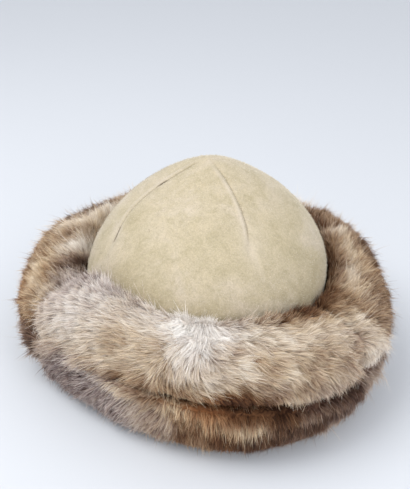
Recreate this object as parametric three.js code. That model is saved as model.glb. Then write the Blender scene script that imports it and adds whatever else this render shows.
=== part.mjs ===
// A suede dome hat with a deep fur cuff, in millimetres, +Z up. The front faces -Y and the wearer's left +X.
// An azimuth is an angle round the hat in degrees, 0 at the front and growing towards +X.
import * as THREE from 'three';

// Crown: head opening, suede and height
const headWidth = 177;
const headDepth = 193;
const suede = 2;
const rimHeight = 3;
const wallHeight = 76;
const crownHeight = 161;
const shoulderFullness = 1.85;
const apexFullness = 1.38;
const apexAside = -4;
const apexBack = 6;
const domeAside = 2.6;
const panelPuff = 0.8;

// Darts sewn into the crown
const dartWidth = 6;
const dartDepth = 1.3;
const dartFade = 16;
const puckerRadius = 8;
const puckerDepth = 1.5;

// Fur cuff
const furReach = 50;
const cuffHeight = 87;
const seamHeight = 45;
const innerSeamHeight = 38;
const lockDepth = 2.4;
const joinDepth = 5;
const joinSpread = 9;
const gap = 0.3;

const suedeFinish = new THREE.MeshStandardMaterial({ color: 0xb39c76, roughness: 0.95, metalness: 0 });
const creamFur = new THREE.MeshStandardMaterial({ color: 0xb59b7d, roughness: 0.9, metalness: 0 });
const goldenFur = new THREE.MeshStandardMaterial({ color: 0x9a7652, roughness: 0.9, metalness: 0 });
const brownFur = new THREE.MeshStandardMaterial({ color: 0x63432b, roughness: 0.9, metalness: 0 });

const radians = THREE.MathUtils.degToRad;

// Four darts close the crown. Each runs down from the apex and ends in a small pucker at a share of the height.
const darts = [
  { at: 45, end: 0.79 },
  { at: 135, end: 0.74 },
  { at: 225, end: 0.76 },
  { at: 311, end: 0.71 },
];

// How the cuff changes round the hat, every 30 degrees from the front: its reach, top and outer seam as shares of
// furReach, cuffHeight and seamHeight, and how far its outer edge curls up off the surface, a share of seamHeight
const cuff = [
  { at: 0, reach: 0.69, top: 1.1, seam: 1.15, lift: 0.2 },
  { at: 30, reach: 0.96, top: 1.04, seam: 1.08, lift: 0.03 },
  { at: 60, reach: 1.07, top: 0.97, seam: 0.95, lift: 0 },
  { at: 90, reach: 1.05, top: 0.87, seam: 1, lift: 0.09 },
  { at: 120, reach: 0.97, top: 1.03, seam: 1, lift: 0.05 },
  { at: 150, reach: 1.13, top: 1, seam: 1, lift: 0.05 },
  { at: 180, reach: 1.07, top: 1.05, seam: 1, lift: 0.05 },
  { at: 210, reach: 1.1, top: 1.1, seam: 1, lift: 0.05 },
  { at: 240, reach: 1.09, top: 1.06, seam: 1, lift: 0.06 },
  { at: 270, reach: 1.14, top: 1.05, seam: 1, lift: 0.08 },
  { at: 300, reach: 1.05, top: 0.88, seam: 1, lift: 0.17 },
  { at: 330, reach: 0.64, top: 1.15, seam: 1.05, lift: 0.18 },
];

// The upper pelts, in order round the hat, each from its own join to the join where the next one starts
const pelts = [
  { name: 'front_pelt', from: -50, to: 70, finish: creamFur },
  { name: 'right_pelt', from: 70, to: 157, finish: creamFur },
  { name: 'back_pelt', from: 157, to: 212, finish: goldenFur },
  { name: 'left_pelt', from: 212, to: 310, finish: goldenFur },
];

// Section of an upper pelt, from the foot of its inner side over the top and down outside: shares of the reach
// and of the height over the seam, and how far the locks of hair stand out there
const peltSection = [
  { out: 0, up: 0, locks: 0 },
  { out: 0, up: 0.82, locks: 0 },
  { out: 0.04, up: 0.92, locks: 0.2 },
  { out: 0.12, up: 0.985, locks: 0.5 },
  { out: 0.24, up: 1, locks: 1 },
  { out: 0.38, up: 0.985, locks: 1 },
  { out: 0.52, up: 0.94, locks: 1 },
  { out: 0.65, up: 0.87, locks: 1 },
  { out: 0.77, up: 0.77, locks: 1 },
  { out: 0.87, up: 0.64, locks: 1 },
  { out: 0.935, up: 0.49, locks: 1 },
  { out: 0.965, up: 0.34, locks: 1 },
  { out: 0.965, up: 0.2, locks: 0.8 },
  { out: 0.94, up: 0.08, locks: 0.4 },
  { out: 0.88, up: 0, locks: 0 },
  { out: 0.6, up: 0, locks: 0 },
  { out: 0.3, up: 0, locks: 0 },
];

// Section of the lower band, the same way round: shares of the reach and of the height of the seam over it, and
// how much of the curl of the outer edge it takes
const bandSection = [
  { out: 0.06, up: 0, locks: 0, curl: 0 },
  { out: 0, up: 0.2, locks: 0, curl: 0 },
  { out: 0, up: 1, locks: 0, curl: 0 },
  { out: 0.3, up: 1, locks: 0, curl: 0 },
  { out: 0.6, up: 1, locks: 0, curl: 0 },
  { out: 0.9, up: 1, locks: 0, curl: 0 },
  { out: 0.96, up: 0.95, locks: 0.5, curl: 0 },
  { out: 0.995, up: 0.84, locks: 1, curl: 0.1 },
  { out: 1, up: 0.7, locks: 1, curl: 0.3 },
  { out: 0.975, up: 0.53, locks: 1, curl: 0.5 },
  { out: 0.915, up: 0.35, locks: 1, curl: 0.7 },
  { out: 0.825, up: 0.19, locks: 0.8, curl: 0.85 },
  { out: 0.7, up: 0.07, locks: 0.4, curl: 0.7 },
  { out: 0.55, up: 0, locks: 0, curl: 0 },
  { out: 0.3, up: 0, locks: 0, curl: 0 },
];

const crownSteps = 12;
const wallSteps = 2;
const panelSteps = 12;
const furStep = 3;
const lockRows = 4;

// A closed skin over rings of points. Each ring is joined to the next; the last goes back to the first, or both
// ends are closed by the given triangles.
function skin(rings, endFaces) {
  const count = rings[0].length;
  const bands = endFaces ? rings.length - 1 : rings.length;
  const faces = [];
  for (let ring = 0; ring < bands; ring += 1) {
    const here = ring * count;
    const next = ((ring + 1) % rings.length) * count;
    for (let k = 0; k < count; k += 1) {
      const after = (k + 1) % count;
      faces.push(here + k, here + after, next + after, here + k, next + after, next + k);
    }
  }
  if (endFaces) {
    const end = (rings.length - 1) * count;
    for (const [a, b, c] of endFaces) {
      faces.push(a, b, c, end + c, end + b, end + a);
    }
  }
  const geometry = new THREE.BufferGeometry();
  geometry.setFromPoints(rings.flat());
  geometry.setIndex(faces);
  geometry.computeVertexNormals();
  return geometry;
}

// How far the suede is drawn in at a place on the crown: along a dart, and in the pucker where the dart ends
function drawnIn(azimuth, radius, height) {
  let depth = 0;
  for (const dart of darts) {
    const turn = THREE.MathUtils.euclideanModulo(azimuth - dart.at + 180, 360) - 180;
    const aside = Math.abs(radians(turn)) * radius;
    const past = height - dart.end * crownHeight;
    const run = THREE.MathUtils.smoothstep(past, 0, dartFade) * THREE.MathUtils.smoothstep(radius, 0, dartFade);
    depth += dartDepth * run * Math.max(0, 1 - aside / (dartWidth / 2));
    depth += puckerDepth * Math.exp(-(aside * aside + past * past) / (puckerRadius * puckerRadius));
  }
  return depth;
}

// The panels between the darts swell: 0 at a dart and 1 in the middle of a panel
function panelSwell(azimuth) {
  const turns = darts.map((dart) => THREE.MathUtils.euclideanModulo(azimuth - dart.at, 360));
  const after = Math.min(...turns);
  const before = 360 - Math.max(...turns);
  return Math.sin(Math.PI * after / Math.max(after + before, 1)) ** 2;
}

// A point of the crown. The rise goes from -1 at the rim to 0 at the top of the upright wall and 1 at the apex.
function crownPoint(azimuth, rise, inset) {
  const lean = Math.max(rise, 0) * Math.PI / 2;
  const spread = Math.cos(lean) ** (2 / apexFullness);
  const lift = Math.sin(lean) ** (2 / shoulderFullness);
  const foot = wallHeight + Math.min(rise, 0) * (wallHeight - rimHeight);
  const height = foot + lift * (crownHeight - inset - wallHeight);
  const puff = panelPuff * Math.sin(2 * lean) * panelSwell(azimuth);
  const sink = drawnIn(azimuth, spread * headWidth / 2, height) - puff;
  const across = (headWidth / 2 + suede - inset - sink) * spread;
  const deep = (headDepth / 2 + suede - inset - sink) * spread;
  const angle = radians(azimuth);
  const aside = apexAside * lift + domeAside * Math.sin(2 * lean);
  const back = apexBack * lift;
  return new THREE.Vector3(aside + across * Math.sin(angle), back - deep * Math.cos(angle), height - sink * lift);
}

// Columns of the crown: the middle and both edges of each dart, and even steps over the panel to the next one
function crownColumns() {
  const dartTurn = THREE.MathUtils.radToDeg(dartWidth / headWidth);
  const columns = [];
  darts.forEach((dart, k) => {
    const next = k + 1 < darts.length ? darts[k + 1].at : darts[0].at + 360;
    columns.push(dart.at);
    for (let step = 0; step <= panelSteps; step += 1) {
      columns.push(THREE.MathUtils.lerp(dart.at + dartTurn, next - dartTurn, step / panelSteps));
    }
  });
  return columns;
}

// The crown's shell: each column runs up the outer face, over the apex, and down the inner face to the rim
function crownShell() {
  const rises = [];
  for (let k = 0; k < wallSteps; k += 1) {
    rises.push(k / wallSteps - 1);
  }
  for (let k = 0; k < crownSteps; k += 1) {
    rises.push(k / crownSteps);
  }
  const columns = crownColumns();
  const outerRows = rises.map((rise) => columns.map((azimuth) => crownPoint(azimuth, rise, 0)));
  const innerRows = rises.map((rise) => columns.map((azimuth) => crownPoint(azimuth, rise, suede)));
  const outerApex = crownPoint(0, 1, 0);
  const innerApex = crownPoint(0, 1, suede);
  const rows = [...innerRows.reverse(), ...outerRows];
  const points = [...rows.flat(), innerApex, outerApex];
  const count = columns.length;
  const topRow = (rows.length - 1) * count;
  const faces = [];
  for (let k = 0; k < count; k += 1) {
    const after = (k + 1) % count;
    for (let row = 0; row < rows.length - 1; row += 1) {
      const low = row * count;
      const high = low + count;
      faces.push(low + k, low + after, high + after, low + k, high + after, high + k);
    }
    faces.push(after, k, rows.length * count);
    faces.push(topRow + k, topRow + after, rows.length * count + 1);
  }
  const geometry = new THREE.BufferGeometry();
  geometry.setFromPoints(points);
  geometry.setIndex(faces);
  geometry.computeVertexNormals();
  return geometry;
}

function aroundCuff(rows) {
  return new THREE.CatmullRomCurve3(rows, true, 'catmullrom');
}
const upperSizes = aroundCuff(cuff.map((row) => new THREE.Vector3(row.reach, row.top, 0)));
const lowerSizes = aroundCuff(cuff.map((row) => new THREE.Vector3(row.seam, row.lift, 0)));

// Sizes of the cuff at an azimuth: its reach, its top, and the height and the curl of its outer side
function cuffAt(azimuth) {
  const turn = THREE.MathUtils.euclideanModulo(azimuth, 360) / 360;
  const upper = upperSizes.getPoint(turn);
  const lower = lowerSizes.getPoint(turn);
  return {
    reach: upper.x * furReach,
    top: upper.y * cuffHeight,
    seam: lower.x * seamHeight,
    curl: lower.y * seamHeight,
  };
}

// Height of the seam between the lower band and the pelts, a share of the reach out from the crown
function seamAt(size, out) {
  return THREE.MathUtils.lerp(innerSeamHeight, size.seam, out);
}

// Locks overlap like shingles: each rises to its tip and drops to the next, and neighbours are half a lock apart
function lockLift(column, place) {
  const phase = place * lockRows + (column % 2) / 2;
  return lockDepth * (phase - Math.floor(phase) - 0.6);
}

// A point of the cuff at a row of a section, between the foot and the top, pushed out from the section's middle
function furPoint(row, azimuth, size, foot, top, push) {
  const out = row.out * size.reach;
  const height = foot + row.up * (top - foot);
  const away = new THREE.Vector2(out - size.reach / 2, height - (foot + top) / 2).setLength(push);
  const across = headWidth / 2 + suede + gap + out + away.x;
  const deep = headDepth / 2 + suede + gap + out + away.x;
  const angle = radians(azimuth);
  return new THREE.Vector3(across * Math.sin(angle), -deep * Math.cos(angle), height + away.y);
}

// The brown band under the pelts, flat where the hat rests
function lowerBand() {
  const columns = 360 / furStep;
  const rings = [];
  for (let column = 0; column < columns; column += 1) {
    const azimuth = column * furStep;
    const size = cuffAt(azimuth);
    rings.push(bandSection.map((row, place) => {
      const top = seamAt(size, row.out) - gap / 2;
      const push = row.locks * lockLift(column, place / bandSection.length);
      const point = furPoint(row, azimuth, size, 0, top, push);
      point.z += row.curl * size.curl;
      return point;
    }));
  }
  return skin(rings);
}

// One upper pelt. Its skin dips where it is sewn to its neighbours.
function upperPelt(pelt) {
  const columns = Math.round((pelt.to - pelt.from) / furStep);
  const clear = THREE.MathUtils.radToDeg(gap / headWidth);
  const radius = headWidth / 2 + furReach / 2;
  const rings = [];
  for (let column = 0; column <= columns; column += 1) {
    const azimuth = THREE.MathUtils.lerp(pelt.from + clear, pelt.to - clear, column / columns);
    const size = cuffAt(azimuth);
    const fromEnd = radians(Math.min(azimuth - pelt.from, pelt.to - azimuth)) * radius;
    const dip = joinDepth * Math.exp(-((fromEnd / joinSpread) ** 2));
    const lockShare = THREE.MathUtils.smoothstep(fromEnd, 0, joinSpread);
    rings.push(peltSection.map((row, place) => {
      const foot = seamAt(size, row.out) + gap / 2;
      const lift = lockShare * lockLift(column, place / peltSection.length);
      return furPoint(row, azimuth, size, foot, size.top, row.locks * (lift - dip));
    }));
  }
  const outline = peltSection.map((row) => new THREE.Vector2(row.out, row.up));
  return skin(rings, THREE.ShapeUtils.triangulateShape(outline, []));
}

const hat = new THREE.Group();

function add(name, geometry, finish) {
  const piece = new THREE.Mesh(geometry, finish);
  piece.name = name;
  hat.add(piece);
}

add('crown', crownShell(), suedeFinish);
add('lower_band', lowerBand(), brownFur);
for (const pelt of pelts) {
  add(pelt.name, upperPelt(pelt), pelt.finish);
}

// The origin is on the surface that the hat rests on, under the middle of its outline
const middle = new THREE.Box3().setFromObject(hat).getCenter(new THREE.Vector3());
hat.position.set(-middle.x, -middle.y, 0);

export default hat;
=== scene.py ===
# A pale suede dome hat with a deep cuff of sewn fur. Everything is in metres in the frame of the packed
# model: +Z is up, the front faces -Y and the wearer's left is +X. An azimuth is an angle round the hat,
# 0 at the front and growing towards +X. The pelts are called left and right as seen by someone in front of
# the hat, so the left one is on the wearer's right.
import math

import bmesh
import bpy
import numpy as np
from mathutils import Matrix, Vector, bvhtree, kdtree


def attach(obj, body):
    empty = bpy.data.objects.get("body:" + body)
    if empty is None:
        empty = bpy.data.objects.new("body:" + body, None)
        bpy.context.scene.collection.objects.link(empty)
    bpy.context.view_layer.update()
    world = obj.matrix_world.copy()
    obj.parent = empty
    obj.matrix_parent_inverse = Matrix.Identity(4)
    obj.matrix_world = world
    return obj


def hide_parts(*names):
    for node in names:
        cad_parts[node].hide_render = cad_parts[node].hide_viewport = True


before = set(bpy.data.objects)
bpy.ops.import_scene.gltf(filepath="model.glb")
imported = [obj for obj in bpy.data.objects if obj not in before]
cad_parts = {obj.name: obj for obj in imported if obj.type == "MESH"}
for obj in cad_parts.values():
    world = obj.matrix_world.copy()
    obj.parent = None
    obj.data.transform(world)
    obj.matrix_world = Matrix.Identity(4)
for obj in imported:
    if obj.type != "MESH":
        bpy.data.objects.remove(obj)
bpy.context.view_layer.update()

# The crown is one shell of suede about 2 mm thick. Four darts are sewn down from the apex to shape the
# dome, and each ends in a small pucker. Below the fur's edge it goes on as the wall of the head opening.
HAT_AXIS = np.array((0.002244, -0.008521))
HEAD_HALF_WIDTH = 0.177 / 2
HEAD_HALF_DEPTH = 0.193 / 2
SUEDE = 0.002
RIM_HEIGHT = 0.003
WALL_HEIGHT = 0.076
CROWN_HEIGHT = 0.161
SHOULDER_FULLNESS = 1.85
APEX_FULLNESS = 1.38
APEX_ASIDE = -0.004
APEX_BACK = 0.006
DOME_ASIDE = 0.0026
PANEL_PUFF = 0.0008
# Each dart: its azimuth in degrees at the apex end and at its foot, how far it bows between them, and its
# foot's share of the crown's height
DARTS = [
    {"high": 49, "low": 43.5, "bow": 1, "foot": 0.765},
    {"high": 133, "low": 136, "bow": 2, "foot": 0.74},
    {"high": 227, "low": 224, "bow": -2, "foot": 0.76},
    {"high": 314, "low": 315, "bow": -7, "foot": 0.71},
]
SEAM_FADE = 0.007
SEAM_REACH = 0.01
APEX_CLEAR = 0.02
ASIDE_LIMIT = 0.012
GROOVE_DEPTH = 0.0007
GROOVE_WIDTH = 0.0009
RIDGE_HEIGHT = 0.0005
RIDGE_ASIDE = 0.0024
RIDGE_WIDTH = 0.0013
PUCKER_RADIUS = 0.0075
PUCKER_DEPTH = 0.0006
PUCKER_WAVE = 0.0007
PUCKER_RIPPLE = 0.0019
# The front dart on the wearer's right stands open in two places, given by their lowest and highest points
SLITS = ((0.1445, 0.149), (0.1125, 0.1215))
SLIT_AZIMUTHS = (280, 345)
SLIT_FADE = 0.001


def crown_spread(height):
    """The dome's width at a height, a share of the width of its upright wall."""
    lift = np.clip((height - WALL_HEIGHT) / (CROWN_HEIGHT - WALL_HEIGHT), 0, 1)
    return np.cos(np.arcsin(lift ** (SHOULDER_FULLNESS / 2))) ** (2 / APEX_FULLNESS)


def dart_marks(azimuth, height, radius):
    """How far aside of the nearest dart a place lies, how much of its seam is there, and its pucker."""
    aside = np.full(azimuth.shape, 1.0)
    seam = np.zeros(azimuth.shape)
    pucker = np.zeros(azimuth.shape)
    for dart in DARTS:
        foot = dart["foot"] * CROWN_HEIGHT
        along = np.clip((height - foot) / (CROWN_HEIGHT - foot), 0, 1)
        line = dart["low"] + (dart["high"] - dart["low"]) * along + dart["bow"] * np.sin(np.pi * along)
        turn = (azimuth - line + 180) % 360 - 180
        away = np.radians(turn) * radius
        nearer = np.abs(away) < np.abs(aside)
        past = height - foot
        shown = np.clip(past / SEAM_FADE, 0, 1) * np.clip(radius / APEX_CLEAR, 0, 1)
        shown = shown * np.clip(1.3 - np.abs(away) / SEAM_REACH, 0, 1)
        aside = np.where(nearer, away, aside)
        seam = np.where(nearer, shown, seam)
        pucker = np.maximum(pucker, np.exp(-(away**2 + past**2) / PUCKER_RADIUS**2))
    return np.clip(aside, -ASIDE_LIMIT, ASIDE_LIMIT), seam, pucker


def crown_places(azimuth, rise):
    """The crown's outer face. The rise is -1 at the rim, 0 where the dome starts and 1 at the apex."""
    lean = np.maximum(rise, 0) * np.pi / 2
    spread = np.cos(lean) ** (2 / APEX_FULLNESS)
    lift = np.sin(lean) ** (2 / SHOULDER_FULLNESS)
    height = WALL_HEIGHT + np.minimum(rise, 0) * (WALL_HEIGHT - RIM_HEIGHT)
    height = height + lift * (CROWN_HEIGHT - WALL_HEIGHT)
    radius = spread * HEAD_HALF_WIDTH
    aside, seam, pucker = dart_marks(azimuth, height, radius)
    swell = np.cos(np.radians(2 * azimuth)) ** 2
    groove = GROOVE_DEPTH * seam * np.exp(-((aside / GROOVE_WIDTH) ** 2))
    ridge = RIDGE_HEIGHT * seam * np.exp(-(((aside + RIDGE_ASIDE) / RIDGE_WIDTH) ** 2))
    crease = PUCKER_WAVE * pucker * np.cos(aside / PUCKER_RIPPLE) + PUCKER_DEPTH * pucker
    sink = groove - ridge + crease - PANEL_PUFF * np.sin(2 * lean) * swell
    turn = np.radians(azimuth)
    across = APEX_ASIDE * lift + DOME_ASIDE * np.sin(2 * lean)
    across = across + (HEAD_HALF_WIDTH + SUEDE - sink) * spread * np.sin(turn)
    back = APEX_BACK * lift - (HEAD_HALF_DEPTH + SUEDE - sink) * spread * np.cos(turn)
    return np.stack([across + HAT_AXIS[0], back + HAT_AXIS[1], height - sink * lift], 1)


def grown_crown():
    """The crown's outer face: a line from the rim to the apex, spun round, shaped and given its wall."""
    wall_rows = 5
    dome_rows = 58
    apex_crowding = 0.9
    turns = 240
    dart_azimuth = 45
    dart_crowding = 0.16
    rises = [k / wall_rows - 1 for k in range(wall_rows)]
    rises += [(k / dome_rows) ** apex_crowding for k in range(dome_rows + 1)]
    form = bmesh.new()
    line = [form.verts.new((math.cos(max(rise, 0) * math.pi / 2), 0, rise)) for rise in rises]
    edges = [form.edges.new(pair) for pair in zip(line[:-1], line[1:])]
    bmesh.ops.spin(
        form, geom=line + edges, cent=(0, 0, 0), axis=(0, 0, 1), angle=2 * math.pi, steps=turns,
        use_merge=True)
    bmesh.ops.remove_doubles(form, verts=form.verts, dist=1e-6)
    bmesh.ops.recalc_face_normals(form, faces=form.faces)
    plain = np.array([vert.co for vert in form.verts])
    turn = np.arctan2(plain[:, 0], -plain[:, 1])
    # the columns draw together where the darts are
    turn = turn - dart_crowding * np.sin(len(DARTS) * (turn - math.radians(dart_azimuth)))
    azimuth = np.degrees(turn) % 360
    places = crown_places(azimuth, plain[:, 2])
    for vert, place in zip(form.verts, places):
        vert.co = place
    mesh = bpy.data.meshes.new("crown_suede")
    form.to_mesh(mesh)
    form.free()
    radius = crown_spread(places[:, 2]) * HEAD_HALF_WIDTH
    aside, seam, pucker = dart_marks(azimuth, places[:, 2], radius)
    slit = np.zeros(len(places))
    for low, high in SLITS:
        inside = np.clip((places[:, 2] - low) / SLIT_FADE, 0, 1)
        inside = inside * np.clip((high - places[:, 2]) / SLIT_FADE, 0, 1)
        slit = np.maximum(slit, inside * (azimuth > SLIT_AZIMUTHS[0]) * (azimuth < SLIT_AZIMUTHS[1]))
    marks = {"dart_aside": aside, "dart_seam": seam, "dart_pucker": pucker, "dart_slit": slit}
    for name, values in marks.items():
        mesh.attributes.new(name, "FLOAT", "POINT").data.foreach_set("value", values.astype(np.float32))
    mesh.shade_smooth()
    crown = bpy.data.objects.new("crown_suede", mesh)
    bpy.context.collection.objects.link(crown)
    wall = crown.modifiers.new("wall", "SOLIDIFY")
    wall.thickness = SUEDE
    wall.offset = -1
    return crown


def node(tree, kind, **values):
    """A shader node with the given settings; a name that starts with in_ sets that input."""
    made = tree.nodes.new(kind)
    for name, value in values.items():
        if name.startswith("in_"):
            made.inputs[name[3:].replace("_", " ")].default_value = value
        else:
            setattr(made, name, value)
    return made


def paint(red, green, blue):
    """A colour named by its screen values, 0 to 255."""
    shares = [value / 255 for value in (red, green, blue)]
    return tuple(share / 12.92 if share < 0.04045 else ((share + 0.055) / 1.055) ** 2.4 for share in shares)


def ramp(tree, value, stops, smooth=False):
    """A colour ramp read at a value. The stops are pairs of a place and a colour."""
    made = tree.nodes.new("ShaderNodeValToRGB")
    scale = made.color_ramp
    scale.interpolation = "EASE" if smooth else "LINEAR"
    while len(scale.elements) < len(stops):
        scale.elements.new(0.5)
    for element, (place, colour) in zip(scale.elements, stops):
        element.position = place
        element.color = (*colour, 1)
    tree.links.new(value, made.inputs["Fac"])
    return made.outputs["Color"]


def sums(tree, operation, first, second, third=None, clamp=False):
    """One step of arithmetic on two or three sockets or numbers."""
    made = node(tree, "ShaderNodeMath", operation=operation, use_clamp=clamp)
    for place, value in enumerate((first, second, third)):
        if value is None:
            continue
        if isinstance(value, (int, float)):
            made.inputs[place].default_value = value
        else:
            tree.links.new(value, made.inputs[place])
    return made.outputs[0]


def mixed(tree, share, first, second, blend="MIX"):
    """Two colours mixed by a share, each a socket or a plain colour."""
    made = node(tree, "ShaderNodeMix", data_type="RGBA", blend_type=blend)
    for place, value in ((0, share), (6, first), (7, second)):
        if isinstance(value, (int, float)):
            made.inputs[place].default_value = value
        elif isinstance(value, tuple):
            made.inputs[place].default_value = (*value, 1)
        else:
            tree.links.new(value, made.inputs[place])
    return made.outputs[2]


def noise(tree, place, scale, detail=3.0, rough=0.55, distort=0.0):
    """Cloudy noise over the piece, as values about 0.5."""
    made = node(tree, "ShaderNodeTexNoise", in_Scale=scale, in_Detail=detail, in_Roughness=rough,
                in_Distortion=distort)
    tree.links.new(place, made.inputs["Vector"])
    return made.outputs["Fac"]


def fresh_material(name):
    """An empty material with its output and one Principled shader."""
    material = bpy.data.materials.new(name)
    material.use_nodes = True
    tree = material.node_tree
    tree.nodes.clear()
    output = tree.nodes.new("ShaderNodeOutputMaterial")
    shader = tree.nodes.new("ShaderNodeBsdfPrincipled")
    tree.links.new(shader.outputs["BSDF"], output.inputs["Surface"])
    return material, tree, shader


def suede_finish():
    """Napped suede: soft clouds where the nap lies different ways, fine flecks, and the darts' seams."""
    stitch_width = 0.0007
    stitch_wander = 0.0012
    slit_width = 0.0009
    fold_aside = 0.0026
    fold_width = 0.0022
    material, tree, shader = fresh_material("suede")
    place = tree.nodes.new("ShaderNodeTexCoord").outputs["Object"]
    clouds = noise(tree, place, 26, 4, 0.6, 0.6)
    brushed = noise(tree, place, 95, 4, 0.65, 1.2)
    grain = noise(tree, place, 900, 2, 0.7)
    base = ramp(tree, clouds, [
        (0.32, paint(174, 163, 136)),
        (0.5, paint(183, 172, 148)),
        (0.68, paint(191, 180, 162)),
    ])
    patch = ramp(tree, brushed, [(0.3, (0.88, 0.88, 0.84)), (0.5, (1, 1, 1)), (0.72, (1.09, 1.08, 1.09))])
    colour = mixed(tree, 1.0, base, patch, "MULTIPLY")
    fleck = ramp(tree, grain, [(0.3, (0.86, 0.86, 0.86)), (0.7, (1.12, 1.12, 1.12))])
    colour = mixed(tree, 1.0, colour, fleck, "MULTIPLY")
    height = tree.nodes.new("ShaderNodeSeparateXYZ")
    tree.links.new(place, height.inputs["Vector"])
    # painted shade: the suede grows darker low down, where it turns down into the fur
    painted_low_shade = ramp(tree, height.outputs["Z"], [(0.072, (0.84, 0.82, 0.79)), (0.125, (1, 1, 1))])
    colour = mixed(tree, 1.0, colour, painted_low_shade, "MULTIPLY")
    aside, seam, pucker, slit = [
        node(tree, "ShaderNodeAttribute", attribute_name=name).outputs["Fac"]
        for name in ("dart_aside", "dart_seam", "dart_pucker", "dart_slit")
    ]
    wander = sums(tree, "MULTIPLY_ADD", noise(tree, place, 140, 1), stitch_wander, -stitch_wander / 2)
    off_line = sums(tree, "ABSOLUTE", sums(tree, "ADD", aside, wander), 0)
    line = sums(tree, "MULTIPLY_ADD", off_line, -1 / stitch_width, 1.0, clamp=True)
    line = sums(tree, "MULTIPLY", line, seam)
    # painted highlight: paler along the raised fold beside each seam and on the pucker at each dart's foot
    edge = sums(tree, "ABSOLUTE", sums(tree, "ADD", aside, fold_aside), 0)
    edge = sums(tree, "MULTIPLY_ADD", edge, -1 / fold_width, 1.0, clamp=True)
    edge = sums(tree, "MULTIPLY", edge, seam)
    pale = sums(tree, "MAXIMUM", edge, sums(tree, "MULTIPLY", pucker, 0.7))
    colour = mixed(tree, sums(tree, "MULTIPLY", pale, 0.55), colour, paint(196, 186, 172))
    colour = mixed(tree, sums(tree, "MULTIPLY", line, 0.38), colour, paint(138, 124, 102))
    # painted shade in the slits where the seam stands open; the shell is whole there
    dark = sums(tree, "MULTIPLY_ADD", off_line, -1 / slit_width, 1.4, clamp=True)
    dark = sums(tree, "MULTIPLY", dark, slit)
    colour = mixed(tree, sums(tree, "MULTIPLY", dark, 0.78), colour, paint(72, 60, 44))
    tree.links.new(colour, shader.inputs["Base Color"])
    shader.inputs["Roughness"].default_value = 0.95
    shader.inputs["Specular IOR Level"].default_value = 0.2
    shader.inputs["Sheen Weight"].default_value = 0.35
    shader.inputs["Sheen Roughness"].default_value = 0.35
    shader.inputs["Sheen Tint"].default_value = (1.0, 0.95, 0.88, 1)
    relief = sums(tree, "MULTIPLY_ADD", grain, 0.35, sums(tree, "MULTIPLY", brushed, 0.8))
    relief = sums(tree, "SUBTRACT", relief, sums(tree, "MULTIPLY", line, 1.6))
    bump = node(tree, "ShaderNodeBump", in_Strength=0.5, in_Distance=0.0006)
    tree.links.new(relief, bump.inputs["Height"])
    tree.links.new(bump.outputs["Normal"], shader.inputs["Normal"])
    return material


crown = grown_crown()
suede = suede_finish()
crown.data.materials.append(suede)
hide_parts("crown")
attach(crown, "root")


# The nap is the suede's own raised fibre, one to two millimetres long and brushed one way in patches. It
# catches the light round the crown's outline.
def unit(vectors):
    """Vectors brought to a length of 1."""
    return vectors / np.maximum(np.linalg.norm(vectors, axis=-1, keepdims=True), 1e-12)


def mesh_points(mesh):
    """The places of a mesh's points."""
    points = np.empty(len(mesh.vertices) * 3)
    mesh.vertices.foreach_get("co", points)
    return points.reshape(-1, 3)


def blades(name, parts):
    """Fine tapered hairs as one mesh, each a narrow blade with its back to the hide. A part is the hairs'
    paths from root to tip, their widths, the way they face, and the tone and warmth of each point, kept as
    a UV map."""
    tip_taper = 0.8
    edge_shade = 0.01
    hairs = []
    first_point = 0
    for paths, widths, facing, shades in parts:
        count, steps, _ = paths.shape
        rings = steps - 1
        side = paths[:, 1:] - paths[:, :-1]
        along = side.copy()
        along[:, 1:] += side[:, :-1]
        across = unit(np.cross(along, facing[:, None]))
        taper = np.linspace(1, tip_taper, rings)[None, :, None] * widths[:, None, None] / 2
        pairs = np.stack([paths[:, :-1] - across * taper, paths[:, :-1] + across * taper], 2)
        points = np.concatenate([pairs.reshape(count, rings * 2, 3), paths[:, -1:]], 1)
        faces = [(rings * 2 - 2, rings * 2 - 1, rings * 2)]
        for ring in range(0, rings * 2 - 2, 2):
            faces += [(ring, ring + 1, ring + 3), (ring, ring + 3, ring + 2)]
        starts = first_point + np.arange(count) * (rings * 2 + 1)
        corners = (np.array(faces)[None] + starts[:, None, None]).reshape(-1)
        shade = np.concatenate([np.repeat(shades[:, :-1], 2, axis=1), shades[:, -1:]], 1)
        shade[:, :-1, 1] += np.tile((-edge_shade, edge_shade), rings)
        hairs.append((points.reshape(-1, 3), corners, shade.reshape(-1, 2)))
        first_point += count * (rings * 2 + 1)
    points, corners, shade = [np.concatenate(arrays) for arrays in zip(*hairs)]
    mesh = bpy.data.meshes.new(name)
    mesh.vertices.add(len(points))
    mesh.vertices.foreach_set("co", points.reshape(-1).astype(np.float32))
    mesh.loops.add(len(corners))
    mesh.loops.foreach_set("vertex_index", corners.astype(np.int32))
    mesh.polygons.add(len(corners) // 3)
    mesh.polygons.foreach_set("loop_start", np.arange(0, len(corners), 3, dtype=np.int32))
    mesh.update(calc_edges=True)
    shade = np.clip(shade, 0.005, 0.995)[corners]
    mesh.uv_layers.new(name="OFBake").data.foreach_set("uv", shade.reshape(-1).astype(np.float32))
    mesh.shade_smooth()
    piece = bpy.data.objects.new(name, mesh)
    bpy.context.collection.objects.link(piece)
    return piece


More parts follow.
